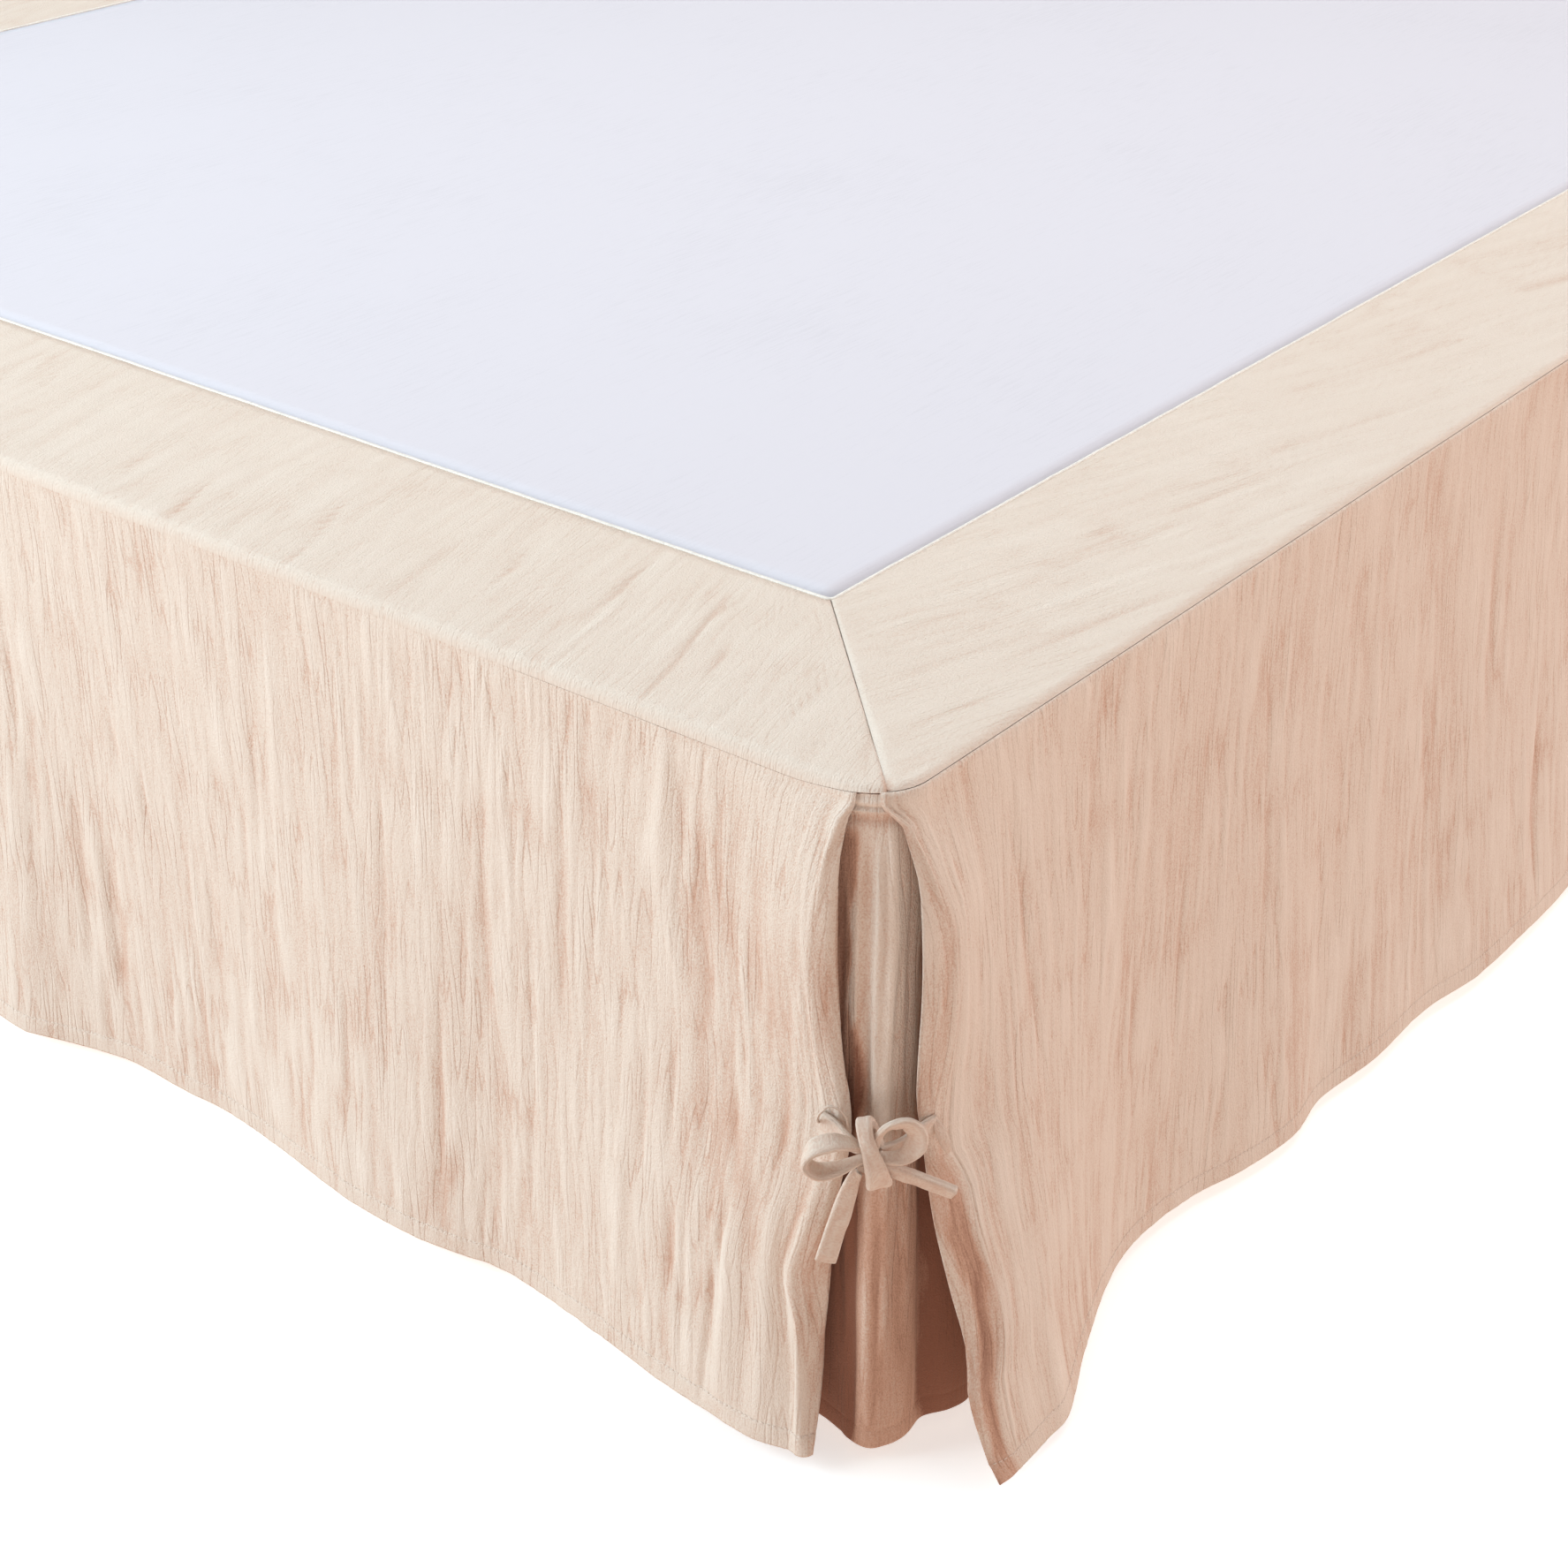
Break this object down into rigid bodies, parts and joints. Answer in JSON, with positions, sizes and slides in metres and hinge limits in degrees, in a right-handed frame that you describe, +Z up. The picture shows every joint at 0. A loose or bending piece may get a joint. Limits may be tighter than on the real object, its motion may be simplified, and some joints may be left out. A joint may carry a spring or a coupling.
{
  "type": "bed skirt on box spring",
  "caption": "Bed skirt of crinkled double gauze over a plain box spring on legs: flat platform, mitred border, hanging panels, corner inserts and tied bows at the foot.",
  "frame": {"origin": "on the floor, under the middle of the whole object's box", "axes": "+X to the right seen from the foot, +Y along the bed from the foot to the head, +Z up"},
  "size_m": [1.7304, 2.049, 0.41],
  "materials": {
    "gauze": "matte crinkled cotton double gauze, blush pink",
    "platform_cotton": "plain white woven cotton",
    "ticking": "plain woven ticking",
    "leg_wood": "plain lacquered beech"
  },
  "bodies": {
    "root": {"box_spring": "ticking", "leg_1": "leg_wood", "leg_2": "leg_wood", "leg_3": "leg_wood", "leg_4": "leg_wood", "leg_5": "leg_wood", "leg_6": "leg_wood", "platform": "platform_cotton", "band_foot": "gauze", "band_left": "gauze", "band_right": "gauze", "panel_foot": "gauze", "panel_left": "gauze", "panel_right": "gauze", "insert_left": "gauze", "insert_right": "gauze", "tie_foot_left": "gauze", "tie_foot_right": "gauze", "tie_side_left": "gauze", "tie_side_right": "gauze"}
  },
  "joints": []
}
